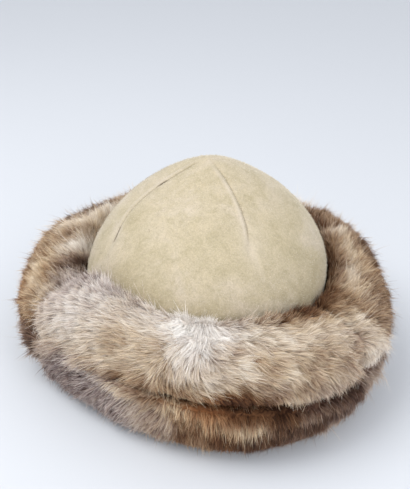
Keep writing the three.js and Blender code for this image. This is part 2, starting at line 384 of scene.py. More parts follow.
def strewn(mesh, count, weight, rng):
    """Places strewn over a mesh, by area times a weight of each face's middle, with their normals."""
    mesh.calc_loop_triangles()
    corners = np.empty(len(mesh.loop_triangles) * 3, np.int32)
    mesh.loop_triangles.foreach_get("vertices", corners)
    corners = corners.reshape(-1, 3)
    points = mesh_points(mesh)
    normals = np.empty(len(mesh.vertices) * 3)
    mesh.vertices.foreach_get("normal", normals)
    normals = normals.reshape(-1, 3)
    a, b, c = points[corners[:, 0]], points[corners[:, 1]], points[corners[:, 2]]
    faced = np.cross(b - a, c - a)
    area = np.linalg.norm(faced, axis=1)
    share = area * weight((a + b + c) / 3, unit(faced))
    chosen = np.searchsorted(np.cumsum(share) / share.sum(), rng.random(count))
    chosen = np.minimum(chosen, len(share) - 1)
    u, v = rng.random(count), rng.random(count)
    flip = u + v > 1
    u, v = np.where(flip, 1 - u, u), np.where(flip, 1 - v, v)
    w = 1 - u - v
    spot = np.zeros((count, 3))
    facing = np.zeros((count, 3))
    for corner, part in enumerate((w, u, v)):
        spot += points[corners[chosen, corner]] * part[:, None]
        facing += normals[corners[chosen, corner]] * part[:, None]
    return spot, unit(facing)


NAP_FIBRES = 24000
NAP_FOOT = 0.068
NAP_ROOT = 0.0003
NAP_WIDTH = 0.00025


def napped(points, normals):
    """1 where the suede is out in the open, 0 where the fur hides it."""
    return np.where(points[:, 2] > NAP_FOOT, 1.0, 0.0)


rng = np.random.default_rng(11)
roots, out = strewn(crown.data, NAP_FIBRES, napped, rng)
brushed = np.stack([np.sin(roots[:, 1] * 60) + 0.3, np.cos(roots[:, 0] * 50), np.full(NAP_FIBRES, -0.8)], 1)
brushed = unit(brushed - out * (brushed * out).sum(1, keepdims=True))
lean = unit(brushed + 0.5 * rng.normal(size=roots.shape))
tips = roots + unit(out * 0.75 + lean * 0.7) * (0.0009 + 0.0008 * rng.random(NAP_FIBRES))[:, None]
nap_paths = np.stack([roots - out * NAP_ROOT, tips], 1)
nap_shades = np.repeat(rng.uniform(0.3, 0.9, (NAP_FIBRES, 1, 2)), 2, axis=1)
nap_facing = unit(out + rng.normal(size=out.shape))
nap = blades("crown_nap", [(nap_paths, np.full(NAP_FIBRES, NAP_WIDTH), nap_facing, nap_shades)])


def nap_finish():
    """The loose fibre is the suede's own colour, a little paler, each one its own shade."""
    material, tree, shader = fresh_material("suede_nap")
    shade = node(tree, "ShaderNodeUVMap", uv_map="OFBake").outputs["UV"]
    parts = tree.nodes.new("ShaderNodeSeparateXYZ")
    tree.links.new(shade, parts.inputs["Vector"])
    colour = ramp(tree, parts.outputs["X"], [(0.3, paint(190, 180, 158)), (0.9, paint(226, 220, 206))])
    tree.links.new(colour, shader.inputs["Base Color"])
    shader.inputs["Roughness"].default_value = 0.9
    shader.inputs["Specular IOR Level"].default_value = 0.2
    return material


nap.data.materials.append(nap_finish())
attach(nap, "root")


# The lower band is one brown length of fur all round the hat, folded over so that the hat rests on it. Its
# hair hangs down. Each length of fur is its hide with the short dense wool, and the hair that grows on it.
FUR_NODES = ("lower_band", "front_pelt", "right_pelt", "back_pelt", "left_pelt")
FUR_GAP = 0.0003
WALL_X = HEAD_HALF_WIDTH + SUEDE + FUR_GAP
WALL_Y = HEAD_HALF_DEPTH + SUEDE + FUR_GAP
CHART_RADIUS = 0.115
SECTION_RADIUS = 0.042
SPOT_REACH = 0.0088
AIR_REACH = 0.03


def round_hat(points):
    """Azimuth in degrees, distance out from the crown's wall, and the directions along the cuff and out
    of it."""
    across = points[:, 0] - HAT_AXIS[0]
    back = points[:, 1] - HAT_AXIS[1]
    turn = np.arctan2(across / WALL_X, -back / WALL_Y)
    away = np.hypot(across, back) - np.hypot(WALL_X * np.sin(turn), WALL_Y * np.cos(turn))
    flat = np.zeros(len(points))
    along = unit(np.stack([WALL_X * np.cos(turn), WALL_Y * np.sin(turn), flat], 1))
    outward = np.stack([along[:, 1], -along[:, 0], flat], 1)
    return np.degrees(turn), away, along, outward


CUFF_TURNS = np.arange(-180, 181, 5)
cuff_points = np.concatenate([mesh_points(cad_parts[name].data) for name in FUR_NODES])
cuff_turn, cuff_away, _, _ = round_hat(cuff_points)
near = [np.abs((cuff_turn - turn + 180) % 360 - 180) < 4 for turn in CUFF_TURNS]
CUFF_REACH = np.array([cuff_away[here].max() for here in near])
CUFF_TOP = np.array([cuff_points[here, 2].max() for here in near])


def on_cuff(points):
    """Azimuth, and tilt round the cuff's section: 0 towards the crown, 90 up and 180 outwards, in degrees.
    Also the direction along the cuff."""
    azimuth, away, along, _ = round_hat(points)
    half_out = np.interp(azimuth, CUFF_TURNS, CUFF_REACH) / 2
    half_up = np.interp(azimuth, CUFF_TURNS, CUFF_TOP) / 2
    tilt = np.degrees(np.arctan2(points[:, 2] - half_up, half_out - away)) % 360
    return azimuth, tilt, along


fur_form = bmesh.new()
for name in FUR_NODES:
    fur_form.from_mesh(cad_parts[name].data)
FUR_SKIN = bvhtree.BVHTree.FromBMesh(fur_form)
fur_form.free()


def open_to_air(points, normals, off):
    """1 where no fold or other length of fur stands in front of a place, 0 elsewhere."""
    _, _, _, outward = round_hat(points)
    aims = unit(normals + outward * 0.6 + (0, 0, 0.15))
    starts = points + normals * off
    hits = [FUR_SKIN.ray_cast(start, aim, AIR_REACH)[0] for start, aim in zip(starts, aims)]
    return np.array([float(hit is None) for hit in hits])


HAIR_COLUMNS = ("at", "tilt", "lay", "lift", "long", "root", "body", "tip", "warm", "dark")


def combed(spots, azimuth, tilt):
    """How the hair lies and is coloured at places of the cuff, from the spots charted near them."""
    chart = np.array(spots, float)
    turn = np.radians((azimuth[:, None] - chart[None, :, 0] + 180) % 360 - 180) * CHART_RADIUS
    roll = np.radians(tilt[:, None] - chart[None, :, 1]) * SECTION_RADIUS
    far = (turn**2 + roll**2) / SPOT_REACH**2
    weight = np.exp(-far) + 1e-4 / (0.1 + far) ** 2
    weight /= weight.sum(1, keepdims=True)
    lay = np.radians(chart[:, 2])
    lift = np.radians(chart[:, 3])
    flow = weight @ np.stack([np.cos(lift) * np.cos(lay), np.cos(lift) * np.sin(lay), np.sin(lift)], 1)
    found = {name: weight @ chart[:, k] for k, name in enumerate(HAIR_COLUMNS) if k > 3}
    found["flow"] = unit(flow)
    return found


def eased(form, times):
    """Smooths a form a little, the given number of times."""
    for _ in range(times):
        bmesh.ops.smooth_vert(
            form, verts=form.verts, factor=0.5, use_axis_x=True, use_axis_y=True, use_axis_z=True)


def under_fur(name, inset):
    """The hide and its wool: the fur's own solid, smoothed and drawn in under the hair."""
    form = bmesh.new()
    form.from_mesh(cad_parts[name].data)
    bmesh.ops.remove_doubles(form, verts=form.verts, dist=1e-5)
    eased(form, 3)
    bmesh.ops.subdivide_edges(form, edges=form.edges, cuts=1, use_grid_fill=True)
    bmesh.ops.triangulate(form, faces=form.faces)
    eased(form, 1)
    form.normal_update()
    points = np.array([vert.co for vert in form.verts])
    normals = np.array([vert.normal for vert in form.verts])
    _, tilt, _ = on_cuff(points)
    outer = np.clip((tilt - 30) / 30, 0, 1) * np.clip((250 - tilt) / 20, 0, 1)
    outer = outer * open_to_air(points, normals, 0.001)
    points = points - normals * (inset * outer)[:, None]
    points[:, 2] = np.maximum(points[:, 2], 0.0)
    for vert, place in zip(form.verts, points):
        vert.co = place
    eased(form, 2)
    mesh = bpy.data.meshes.new(name + "_hide")
    form.to_mesh(mesh)
    form.free()
    mesh.shade_smooth()
    return mesh


def grown_hair(hide, spots, locks, wool, lowest, highest, seed):
    """Paths, widths and shades of the hair on a hide: long hair in locks that draw together at their tips,
    and short straight wool between them."""
    lock_width = 0.00044
    wool_width = 0.00048
    hairs_of_a_tuft = 300
    hairs_of_a_lock = 22
    root_depth = 0.0015
    middle_room = 0.0012
    tip_room = 0.0022
    tuft_sway = (0.12, 0.12, 0.06)
    lock_sway = (0.11, 0.11, 0.08)
    hair_sway = 0.1
    single_share = 0.08
    single_length = 1.4
    single_lift = 0.3
    single_paler = 0.3
    wool_length = 0.75
    bend_at = 0.45
    lock_gather = 0.3
    wool_gather = 0.12
    gather_reach = 0.006
    tuft_tone_spread = 0.03
    lock_tone_spread = 0.035
    hair_tone_spread = 0.045
    warm_spread = 0.07
    dusky_body = 0.17
    dusky_tip = 0.36
    facing_spread = 0.45
    rng = np.random.default_rng(seed)

    def haired(points, normals):
        """Where hair grows, most thickly at the front."""
        azimuth, tilt, along = on_cuff(points)
        shown = (tilt > lowest) & (tilt < highest) & (points[:, 2] > 0.0012)
        shown &= (np.abs((normals * along).sum(1)) < 0.85) & (open_to_air(points, normals, 0.0075) > 0.5)
        front = np.exp(-((azimuth - 5) / 75) ** 2)
        return shown * (0.75 + 0.5 * front)

    grown = []
    for count, steps in ((locks, 3), (wool, 2)):
        roots, normals = strewn(hide, count, haired, rng)
        grown.append((roots, normals, steps))
    every = np.concatenate([roots for roots, _, _ in grown])
    normals = np.concatenate([normals for _, normals, _ in grown])
    total = len(every)
    long_hair = np.arange(total) < locks
    # coarse tufts share a lean and a tone; the hairs of a fine lock meet at its tip
    tufts = rng.choice(locks, max(locks // hairs_of_a_tuft, 8), replace=False)
    guides = rng.choice(locks, max(locks // hairs_of_a_lock, 8), replace=False)

    def nearest(chosen):
        """Which of the chosen hairs is nearest to each hair."""
        tree = kdtree.KDTree(len(chosen))
        for k, index in enumerate(chosen):
            tree.insert(every[index], k)
        tree.balance()
        return np.array([tree.find(place)[1] for place in every])

    tuft = nearest(tufts)
    lock = nearest(guides)
    azimuth, tilt, _ = on_cuff(every)
    comb = combed(spots, azimuth, tilt)
    tuft_lean = rng.normal(size=(len(tufts), 3)) * tuft_sway
    lock_lean = rng.normal(size=(len(guides), 3)) * lock_sway
    flow = unit(comb["flow"] + tuft_lean[tuft] + lock_lean[lock] + rng.normal(size=(total, 3)) * hair_sway)
    single = long_hair & (rng.random(total) < single_share)
    length = comb["long"] * 0.001 * rng.uniform(0.7, 1.15, total)
    length = length * (1 + 0.12 * rng.normal(size=len(guides)))[lock]
    length = np.where(single, length * single_length, np.where(long_hair, length, length * wool_length))
    flow[:, 2] = np.where(single, flow[:, 2] + single_lift, flow[:, 2])
    flow = unit(flow)

    corners = [tuple(face.vertices) for face in hide.polygons]
    skin = bvhtree.BVHTree.FromPolygons(mesh_points(hide).tolist(), corners)

    def off_hide(places, least):
        """Places lifted to at least a height off the hide, and the hide's normals under them."""
        found = [skin.find_nearest(place) for place in places]
        feet = np.array([foot for foot, _, _, _ in found])
        facing = np.array([normal for _, normal, _, _ in found])
        height = ((places - feet) * facing).sum(1)
        return places + facing * np.maximum(least - height, 0)[:, None], facing

    def step(places, normals, flow, stride):
        """Places moved on along the flow, which is given by the directions of the cuff there."""
        _, _, along, _ = round_hat(places)
        along = unit(along - normals * (along * normals).sum(1, keepdims=True))
        over = np.cross(along, normals)
        moved = over * flow[:, :1] + along * flow[:, 1:2] + normals * flow[:, 2:]
        return places + moved * stride[:, None]

    start = every - normals * root_depth
    bent = unit(flow * (1, 1, 0.35))
    middle = step(start, normals, flow, length * bend_at)
    facing = normals.copy()
    middle[:locks], facing[:locks] = off_hide(middle[:locks], middle_room)
    tip = step(middle, facing, bent, length * (1 - bend_at))
    tip[:locks] = off_hide(tip[:locks], tip_room)[0]
    gather = np.where(long_hair, lock_gather, wool_gather)[:, None] * np.where(single, 0.0, 1.0)[:, None]
    guide = guides[lock]
    spread = np.linalg.norm(every - every[guide], axis=1)[:, None]
    gather = gather * np.clip(1.4 - spread / gather_reach, 0, 1)
    middle = middle + (middle[guide] - middle) * gather * 0.35
    tip = tip + (tip[guide] - tip) * gather
    tip = tip + rng.normal(size=tip.shape) * (length * 0.05)[:, None]

    def clear(places, room):
        """Keeps hair outside the crown and above the surface that the hat rests on."""
        across = (places[:, 0] - HAT_AXIS[0]) / (WALL_X + room)
        back = (places[:, 1] - HAT_AXIS[1]) / (WALL_Y + room)
        width = np.hypot(across, back)
        wanted = crown_spread(places[:, 2]) + room / WALL_X
        push = np.maximum(wanted / np.maximum(width, 1e-6), 1)
        places[:, 0] = HAT_AXIS[0] + (places[:, 0] - HAT_AXIS[0]) * push
        places[:, 1] = HAT_AXIS[1] + (places[:, 1] - HAT_AXIS[1]) * push
        places[:, 2] = np.maximum(places[:, 2], 0.0006)
        return places

    middle = clear(middle, 0.0006)
    tip = clear(tip, 0.001)
    tuft_tone = rng.normal(size=len(tufts)) * tuft_tone_spread
    lock_tone = rng.normal(size=len(guides)) * lock_tone_spread
    own = tuft_tone[tuft] + lock_tone[lock] + rng.normal(size=total) * hair_tone_spread
    dusky = rng.random(total) < comb["dark"] * np.where(long_hair, 0.7, 0.35)
    # the roots take the darker root tone, partly the hair's own colour and partly painted shade deep in the
    # fur
    root = comb["root"] + own * 0.5
    body = comb["body"] + own - np.where(dusky, dusky_body, 0)
    end = comb["tip"] + own - np.where(dusky, dusky_tip, 0) + np.where(single, single_paler, 0)
    warm = comb["warm"] + rng.normal(size=total) * warm_spread
    shades = np.stack([np.stack([root, body, end], 1), np.repeat(warm[:, None], 3, 1)], 2)
    turned = unit(normals + facing_spread * rng.normal(size=normals.shape))
    hairs = []
    for chosen, path, shade, width in (
        (long_hair, np.stack([start, middle, tip], 1), shades, lock_width),
        (~long_hair, np.stack([start, tip], 1), shades[:, (0, 2)], wool_width),
    ):
        widths = width * rng.uniform(0.7, 1.15, total)
        widths = np.where(single, widths * 0.7, widths)
        hairs.append((path[chosen], widths[chosen], turned[chosen], shade[chosen]))
    return hairs


# From dark to pale: the mauve grey, the tan and the golden hair
FUR_TONES = (
    ((38, 26, 26), (108, 90, 89), (170, 157, 155), (216, 207, 203), (251, 249, 247)),
    ((46, 26, 15), (112, 79, 54), (178, 151, 121), (224, 205, 174), (250, 243, 228)),
    ((54, 25, 12), (136, 86, 52), (196, 148, 102), (226, 192, 146), (248, 229, 198)),
)


def fur_shades():
    """The fur's colours by tone, from dark brown to white, and by warmth, from mauve grey to golden."""
    group = bpy.data.node_groups.new("fur_shades", "ShaderNodeTree")
    for name in ("Tone", "Warmth"):
        group.interface.new_socket(name, in_out="INPUT", socket_type="NodeSocketFloat")
    group.interface.new_socket("Colour", in_out="OUTPUT", socket_type="NodeSocketColor")
    given = group.nodes.new("NodeGroupInput")
    given_out = group.nodes.new("NodeGroupOutput")
    tone, warmth = given.outputs["Tone"], given.outputs["Warmth"]
    mauve, tan, golden = [
        ramp(group, tone, [(k / 4, paint(*colour)) for k, colour in enumerate(colours)])
        for colours in FUR_TONES
    ]
    low = mixed(group, sums(group, "MULTIPLY", warmth, 2.0, clamp=True), mauve, tan)
    colour = mixed(group, sums(group, "MULTIPLY_ADD", warmth, 2.0, -1.0, clamp=True), low, golden)
    group.links.new(colour, given_out.inputs["Colour"])
    return group


FUR_SHADES = fur_shades()


def hair_finish():
    """Fine glossy hair: each strand carries its own tone and warmth from root to tip."""
    material, tree, shader = fresh_material("fur_hair")
    shade = node(tree, "ShaderNodeUVMap", uv_map="OFBake").outputs["UV"]
    parts = tree.nodes.new("ShaderNodeSeparateXYZ")
    tree.links.new(shade, parts.inputs["Vector"])
    chart = node(tree, "ShaderNodeGroup", node_tree=FUR_SHADES)
    tree.links.new(parts.outputs["X"], chart.inputs["Tone"])
    tree.links.new(parts.outputs["Y"], chart.inputs["Warmth"])
    tree.links.new(chart.outputs["Colour"], shader.inputs["Base Color"])
    shader.inputs["Roughness"].default_value = 0.6
    shader.inputs["Specular IOR Level"].default_value = 0.18
    return material


def wool_finish():
    """The dense wool under the hair, in the tones of the hair over it, streaked and soft."""
    material, tree, shader = fresh_material("fur_wool")
    place = tree.nodes.new("ShaderNodeTexCoord").outputs["Object"]
    tone = node(tree, "ShaderNodeAttribute", attribute_name="tone").outputs["Fac"]
    warmth = node(tree, "ShaderNodeAttribute", attribute_name="warmth").outputs["Fac"]
    tufts = noise(tree, place, 260, 4, 0.6, 1.0)
    tone = sums(tree, "ADD", tone, sums(tree, "MULTIPLY_ADD", tufts, 0.5, -0.25), clamp=True)
    chart = node(tree, "ShaderNodeGroup", node_tree=FUR_SHADES)
    tree.links.new(tone, chart.inputs["Tone"])
    tree.links.new(warmth, chart.inputs["Warmth"])
    tree.links.new(chart.outputs["Colour"], shader.inputs["Base Color"])
    shader.inputs["Roughness"].default_value = 0.9
    shader.inputs["Specular IOR Level"].default_value = 0.15
    bump = node(tree, "ShaderNodeBump", in_Strength=0.8, in_Distance=0.0015)
    tree.links.new(tufts, bump.inputs["Height"])
    tree.links.new(bump.outputs["Normal"], shader.inputs["Normal"])
    return material


HAIR_FINISH = hair_finish()
WOOL_FINISH = wool_finish()


def length_of_fur(name, spots, locks, wool, lowest, highest, seed):
    """One length of fur: the hide that stands for the solid, and the hair on it."""
    mesh = under_fur(name, inset=0.0055)
    azimuth, tilt, _ = on_cuff(mesh_points(mesh))
    comb = combed(spots, azimuth, tilt)
    # the hide takes mostly the darker root tone, partly the wool's own colour and partly painted shade under
    # the hair
    tone = np.clip(comb["root"] * 0.65 + comb["body"] * 0.3, 0, 1)
    for attribute, values in (("tone", tone), ("warmth", comb["warm"])):
        mesh.attributes.new(attribute, "FLOAT", "POINT").data.foreach_set("value", values.astype(np.float32))
    hide = bpy.data.objects.new(name + "_hide", mesh)
    bpy.context.collection.objects.link(hide)
    mesh.materials.append(WOOL_FINISH)
    grown = grown_hair(mesh, spots, locks, wool, lowest, highest, seed)
    hair = blades(name + "_hair", grown)
    hair.data.materials.append(HAIR_FINISH)
    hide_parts(name)
    for piece in (hide, hair):
        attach(piece, "root")


# Hair is charted by spots round the cuff, with the columns of HAIR_COLUMNS: azimuth and tilt; its lay in
# degrees from straight out over the cuff towards a greater azimuth; its lift off the hide; its length in
# millimetres; the tones of root, body and tip; its warmth; and the share of dusky hairs among it.
# A root tone darker than the body is partly the hair's own colour and partly painted shade deep in the fur.
BAND_SPOTS = [
    # near black hair along the band's top in front, azimuth 20 to 41, is partly painted shadow in the groove
    # under the front pelt
    (-58, 192, -35, 28, 13, 0.10, 0.34, 0.62, 0.30, 0.3),
    (-58, 216, -35, 28, 13, 0.06, 0.28, 0.62, 0.28, 0.4),
    (-48, 189, -55, 45, 15, 0.02, 0.18, 0.42, 0.32, 0.4),
    (-35, 186, -55, 45, 15, 0.26, 0.54, 0.80, 0.20, 0.2),
    (-22, 184, -52, 45, 15, 0.26, 0.54, 0.80, 0.22, 0.2),
    (-44, 205, -45, 30, 14, 0.12, 0.38, 0.72, 0.26, 0.35),
    (-38, 228, -45, 30, 14, 0.04, 0.24, 0.66, 0.08, 0.45),
    (-32, 206, -50, 30, 15, 0.20, 0.48, 0.84, 0.12, 0.3),
    (-22, 199, -50, 30, 15, 0.38, 0.68, 0.94, 0.14, 0.2),
    (-24, 222, -50, 30, 14, 0.06, 0.30, 0.72, 0.06, 0.4),
    (-12, 187, -48, 38, 15, 0.42, 0.72, 0.92, 0.34, 0.15),
    (-12, 215, -45, 30, 14, 0.08, 0.34, 0.74, 0.08, 0.4),
    (-12, 242, -40, 28, 13, 0.05, 0.26, 0.68, 0.08, 0.4),
    (-4, 194, -35, 26, 14, 0.26, 0.56, 0.76, 0.36, 0.25),
    (-3, 224, -35, 28, 14, 0.22, 0.54, 0.80, 0.22, 0.2),
    (2, 178, -20, 24, 13, 0.08, 0.34, 0.50, 0.48, 0.35),
    (4, 202, -20, 26, 14, 0.24, 0.52, 0.70, 0.38, 0.2),
    (6, 230, -20, 28, 14, 0.15, 0.44, 0.64, 0.30, 0.25),
    (11, 182, -5, 20, 12, 0.28, 0.62, 0.74, 0.50, 0.15),
    (14, 201, -5, 22, 13, 0.12, 0.38, 0.52, 0.62, 0.25),
    (17, 234, -5, 24, 12, 0.05, 0.20, 0.34, 0.58, 0.3),
    (20, 184, 0, 18, 11, 0.10, 0.30, 0.44, 0.80, 0.25),
    (22, 208, 0, 22, 13, 0.18, 0.44, 0.58, 0.62, 0.15),
    (24, 232, 0, 22, 12, 0.02, 0.14, 0.24, 0.62, 0.3),
    (31, 182, 0, 18, 11, 0.00, 0.14, 0.26, 0.62, 0.3),
    (33, 203, 0, 22, 13, 0.36, 0.68, 0.84, 0.46, 0.05),
    (35, 227, 0, 22, 12, 0.00, 0.05, 0.18, 0.50, 0.4),
    (41, 186, 5, 18, 12, 0.00, 0.06, 0.18, 0.55, 0.4),
    (42, 212, 5, 24, 12, 0.02, 0.12, 0.30, 0.40, 0.35),
    (51, 190, 5, 22, 13, 0.05, 0.20, 0.54, 0.32, 0.4),
    (51, 208, 5, 24, 13, 0.00, 0.03, 0.20, 0.38, 0.45),
    (58, 187, 5, 26, 13, 0.00, 0.04, 0.32, 0.32, 0.45),
    (62, 208, 5, 28, 13, 0.02, 0.10, 0.40, 0.25, 0.45),
    (62, 230, 5, 28, 12, 0.20, 0.44, 0.66, 0.26, 0.4),
    (76, 190, 5, 28, 13, 0.14, 0.38, 0.66, 0.25, 0.4),
    (80, 214, 5, 28, 12, 0.04, 0.20, 0.48, 0.30, 0.4),
    (20, 246, 0, 14, 10, 0.10, 0.32, 0.48, 0.50, 0.25),
    (48, 246, 0, 14, 10, 0.05, 0.20, 0.40, 0.35, 0.3),
    (100, 205, 5, 28, 12, 0.05, 0.20, 0.45, 0.45, 0.4),
    (125, 205, 5, 28, 12, 0.08, 0.26, 0.50, 0.50, 0.4),
    (155, 205, 0, 28, 12, 0.06, 0.20, 0.45, 0.50, 0.4),
    (185, 205, 0, 28, 12, 0.10, 0.28, 0.50, 0.55, 0.4),
    (215, 205, 0, 28, 12, 0.08, 0.24, 0.45, 0.50, 0.4),
    (245, 205, -10, 28, 12, 0.10, 0.28, 0.52, 0.50, 0.4),
    (280, 205, -20, 28, 12, 0.10, 0.30, 0.58, 0.40, 0.4),
]
length_of_fur(
    "lower_band", BAND_SPOTS, locks=32000, wool=90000, lowest=172, highest=262, seed=21)

# The front pelt is the longest of the four upper lengths. Its hair parts at a white patch in front of the
# crown and lies away from it to both sides, cream over a dark edge, and stands up where it meets the suede.
# The dark edge along the crown and the near black hair at the pelt's foot, from azimuth 20 to 38, are partly
# painted shadow, in the gap by the suede and in the groove over the lower band.
FRONT_SPOTS = [
    (-46, 42, -60, 60, 10, 0.00, 0.25, 0.70, 0.10, 0.3),
    (-25, 42, -40, 62, 10, 0.00, 0.25, 0.75, 0.05, 0.3),
    (-5, 42, -20, 65, 10, 0.00, 0.20, 0.70, 0.15, 0.3),
    (15, 42, 0, 66, 10, 0.00, 0.20, 0.75, 0.20, 0.3),
    (35, 42, 10, 66, 10, 0.00, 0.15, 0.70, 0.20, 0.4),
    (55, 42, 15, 60, 10, 0.00, 0.10, 0.40, 0.45, 0.6),
    (-44, 66, -70, 74, 12, 0.00, 0.14, 0.80, 0.06, 0.45),
    (-32, 66, -70, 76, 13, 0.00, 0.14, 0.88, 0.05, 0.45),
    (-20, 66, -60, 78, 13, 0.00, 0.14, 0.88, 0.05, 0.45),
    (-8, 65, -50, 78, 12, 0.00, 0.14, 0.85, 0.10, 0.4),
    (4, 60, -30, 70, 9, 0.12, 0.48, 0.88, 0.12, 0.2),
    (6, 69, -60, 42, 11, 0.70, 0.90, 1.00, 0.12, 0.0),
    (16, 58, 0, 72, 8, 0.25, 0.60, 0.92, 0.10, 0.1),
    (17, 68, 0, 38, 11, 1.00, 1.00, 1.00, 0.04, 0.0),
    (28, 60, 120, 76, 8, 0.00, 0.12, 0.80, 0.28, 0.4),
    (28, 73, 30, 42, 11, 0.66, 0.90, 1.00, 0.14, 0.05),
    (40, 62, 120, 72, 9, 0.00, 0.09, 0.68, 0.45, 0.5),
    (38, 75, 45, 45, 12, 0.50, 0.78, 0.92, 0.30, 0.15),
    (50, 63, 120, 66, 9, 0.00, 0.02, 0.30, 0.62, 0.5),
    (60, 63, 110, 62, 10, 0.00, 0.03, 0.22, 0.68, 0.5),
    (-46, 86, -70, 50, 12, 0.42, 0.66, 0.84, 0.10, 0.15),
    (-36, 82, -80, 52, 12, 0.18, 0.46, 0.78, 0.05, 0.25),
    (-22, 80, -85, 48, 13, 0.46, 0.76, 0.94, 0.05, 0.12),
    (-8, 82, -90, 42, 13, 0.58, 0.82, 0.94, 0.22, 0.1),
    (3, 80, -90, 40, 12, 0.64, 0.84, 0.96, 0.18, 0.05),
    (13, 79, -50, 36, 12, 1.00, 1.00, 1.00, 0.06, 0.0),
    (18, 90, -15, 32, 12, 1.00, 1.00, 1.00, 0.04, 0.0),
    (22, 79, 35, 34, 12, 1.00, 1.00, 1.00, 0.06, 0.0),
    (34, 79, 60, 42, 13, 0.50, 0.76, 0.90, 0.28, 0.1),
    (44, 82, 55, 45, 13, 0.62, 0.86, 0.97, 0.28, 0.1),
    (52, 80, 50, 50, 12, 0.44, 0.74, 0.88, 0.36, 0.2),
    (62, 84, 50, 55, 12, 0.34, 0.66, 0.84, 0.42, 0.3),
    (-44, 104, -60, 42, 13, 0.38, 0.62, 0.80, 0.16, 0.15),
    (-32, 100, -70, 40, 14, 0.50, 0.74, 0.90, 0.14, 0.1),
    (-18, 98, -75, 36, 14, 0.50, 0.76, 0.90, 0.22, 0.1),
    (-8, 105, -80, 32, 15, 0.24, 0.50, 0.68, 0.44, 0.25),
    (4, 98, -85, 35, 14, 0.36, 0.60, 0.80, 0.40, 0.2),
    (14, 104, -30, 32, 13, 0.66, 0.84, 0.94, 0.18, 0.05),
    (26, 97, 60, 34, 14, 0.22, 0.42, 0.60, 0.36, 0.2),
    (38, 95, 58, 36, 15, 0.46, 0.74, 0.90, 0.36, 0.12),
    (50, 94, 52, 45, 13, 0.38, 0.68, 0.85, 0.34, 0.25),
    (61, 98, 50, 58, 12, 0.36, 0.68, 0.88, 0.30, 0.35),
    (68, 104, 35, 62, 12, 0.30, 0.62, 0.82, 0.28, 0.4),
    (-46, 124, -50, 36, 14, 0.34, 0.62, 0.80, 0.24, 0.15),
    (-34, 120, -60, 34, 15, 0.42, 0.70, 0.85, 0.22, 0.12),
    (-20, 118, -65, 32, 16, 0.42, 0.72, 0.85, 0.32, 0.2),
    (-9, 118, -75, 32, 16, 0.42, 0.70, 0.85, 0.38, 0.1),
    (-1, 111, -80, 32, 15, 0.46, 0.72, 0.86, 0.38, 0.1),
    (10, 118, 20, 40, 13, 0.28, 0.52, 0.68, 0.40, 0.2),
    (20, 116, 70, 34, 15, 0.38, 0.66, 0.82, 0.28, 0.15),
    (28, 113, 70, 32, 15, 0.72, 1.00, 1.00, 0.28, 0.0),
    (36, 108, 58, 34, 14, 0.16, 0.40, 0.54, 0.48, 0.3),
    (49, 112, 48, 48, 12, 0.22, 0.48, 0.64, 0.44, 0.35),
    (57, 112, 45, 55, 12, 0.30, 0.58, 0.78, 0.38, 0.3),
    (54, 128, 45, 55, 12, 0.26, 0.58, 0.76, 0.40, 0.35),
    (64, 120, 35, 65, 12, 0.14, 0.42, 0.62, 0.36, 0.4),
    (-44, 142, -45, 28, 16, 0.38, 0.64, 0.84, 0.26, 0.15),
    (-30, 138, -50, 26, 17, 0.36, 0.64, 0.82, 0.30, 0.18),
    (-16, 136, -55, 30, 15, 0.26, 0.52, 0.70, 0.34, 0.25),
    (-2, 129, -60, 26, 13, 0.18, 0.42, 0.56, 0.48, 0.3),
    (10, 131, 60, 26, 11, 0.06, 0.26, 0.38, 0.58, 0.35),
    (19, 128, 80, 26, 13, 0.42, 0.70, 0.84, 0.32, 0.1),
    (31, 128, 80, 26, 12, 0.24, 0.48, 0.62, 0.42, 0.25),
    (42, 121, 60, 34, 12, 0.54, 0.82, 0.95, 0.36, 0.1),
    (45, 137, 45, 46, 12, 0.06, 0.26, 0.42, 0.44, 0.4),
    (63, 142, 35, 60, 12, 0.28, 0.56, 0.76, 0.34, 0.4),
    (-44, 165, -45, 18, 22, 0.30, 0.56, 0.80, 0.25, 0.2),
    (-28, 162, -50, 18, 22, 0.32, 0.60, 0.80, 0.26, 0.2),
    (-13, 153, -50, 20, 19, 0.16, 0.38, 0.56, 0.38, 0.35),
    (-3, 152, -50, 22, 12, 0.04, 0.20, 0.30, 0.50, 0.4),
    (11, 147, 60, 20, 9, 0.20, 0.45, 0.57, 0.54, 0.2),
    (26, 141, 75, 18, 9, 0.04, 0.18, 0.28, 0.72, 0.35),
    (37, 145, 70, 20, 9, 0.14, 0.36, 0.46, 0.34, 0.15),
    (43, 150, 20, 34, 12, 0.42, 0.70, 0.86, 0.36, 0.15),
    (54, 162, 10, 36, 12, 0.18, 0.46, 0.70, 0.28, 0.35),
    (66, 160, 15, 40, 13, 0.25, 0.52, 0.78, 0.32, 0.3),
    (-44, 184, -45, 12, 26, 0.22, 0.46, 0.76, 0.18, 0.25),
    (-30, 184, -50, 12, 26, 0.24, 0.50, 0.78, 0.20, 0.25),
    (-15, 176, -48, 14, 22, 0.20, 0.46, 0.68, 0.34, 0.3),
    (-2, 170, -40, 20, 13, 0.04, 0.22, 0.34, 0.50, 0.35),
    (10, 164, -10, 14, 10, 0.06, 0.26, 0.38, 0.55, 0.3),
    (20, 159, 20, 10, 8, 0.05, 0.22, 0.34, 0.88, 0.25),
    (30, 158, 20, 10, 8, 0.00, 0.02, 0.08, 0.78, 0.35),
    (38, 161, 5, 12, 8, 0.00, 0.00, 0.05, 0.56, 0.4),
    (45, 172, 5, 25, 12, 0.02, 0.14, 0.34, 0.40, 0.35),
    (56, 176, 5, 26, 13, 0.15, 0.40, 0.72, 0.32, 0.35),
    (67, 176, 5, 28, 13, 0.15, 0.40, 0.72, 0.30, 0.35),
]
length_of_fur(
    "front_pelt", FRONT_SPOTS, locks=33000, wool=92000, lowest=38, highest=186, seed=31)
